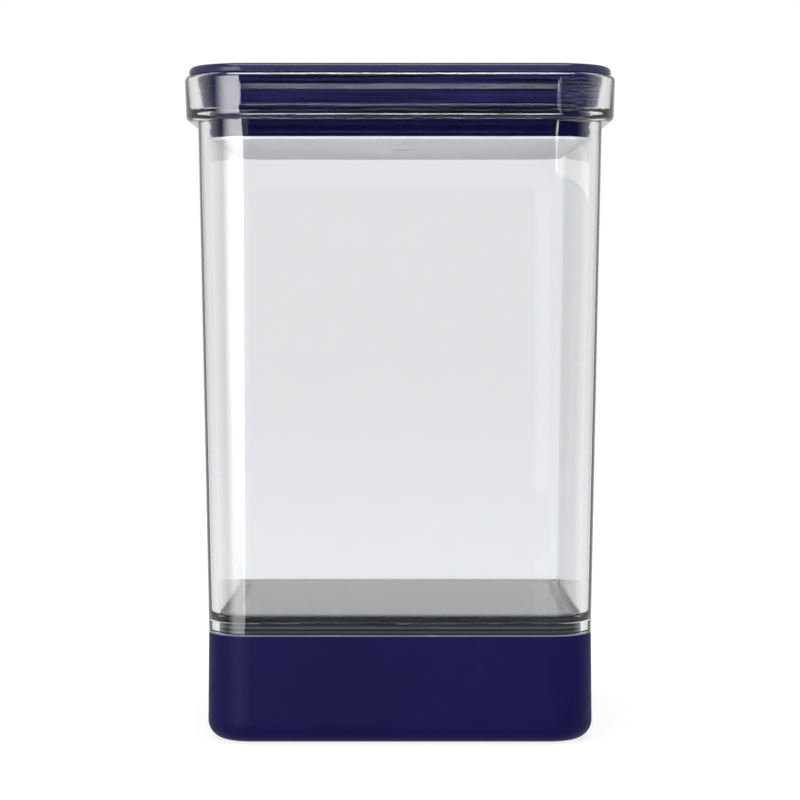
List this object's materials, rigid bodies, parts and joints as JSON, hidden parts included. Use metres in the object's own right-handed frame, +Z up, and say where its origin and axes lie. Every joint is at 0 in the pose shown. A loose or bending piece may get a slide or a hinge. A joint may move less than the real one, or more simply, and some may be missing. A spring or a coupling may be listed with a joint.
{
  "type": "airtight food storage container",
  "caption": "Clear square food canister in a soft base boot, with a flush flip handle in its lid that squeezes a seal ring against the mouth.",
  "frame": {"origin": "centre of the face that the boot stands on", "axes": "+Z up through the lid, -Y out of the front, where the flip handle's tip points, +X to the right seen from the front"},
  "size_m": [0.104, 0.104, 0.1629],
  "materials": {
    "clear_plastic": "clear, polished",
    "boot_silicone": "satin silicone",
    "lid_plastic": "satin moulded plastic",
    "seal_silicone": "satin silicone",
    "frosted_plastic": "frosted, translucent",
    "white_plastic": "smooth low-friction plastic",
    "steel": "stainless steel"
  },
  "bodies": {
    "container": {"container_body": "clear_plastic", "silicone_boot": "boot_silicone"},
    "lid": {"lid_cover": "lid_plastic", "lid_tray": "lid_plastic", "tray_screws": "steel", "cam_plate": "steel", "stem_o_ring": "seal_silicone", "seal_retainer": "white_plastic", "seal_ring": "seal_silicone", "return_spring": "steel"},
    "plunger": {"lift_stem": "white_plastic", "handle_pin": "steel", "pressure_plate": "frosted_plastic", "plate_screw": "steel"},
    "handle": {"flip_handle": "lid_plastic"}
  },
  "joints": [
    {"name": "lid_lift", "type": "slide", "parent": "container", "child": "lid", "axis": [0, 0, 1], "range_m": [0, 0.05]},
    {"name": "seal_release", "type": "slide", "parent": "lid", "child": "plunger", "axis": [0, 0, -1], "range_m": [0, 0.0016], "deforming": ["seal_ring", "return_spring"]},
    {"name": "handle_flip", "type": "hinge", "parent": "plunger", "child": "handle", "pos_m": [0, 0, 0.1592], "axis": [-1, 0, 0], "range_deg": [0, 90]}
  ],
  "couplings": [
    {"joint": "handle_flip", "follows": "seal_release", "rad_per_m": 981.7}
  ]
}
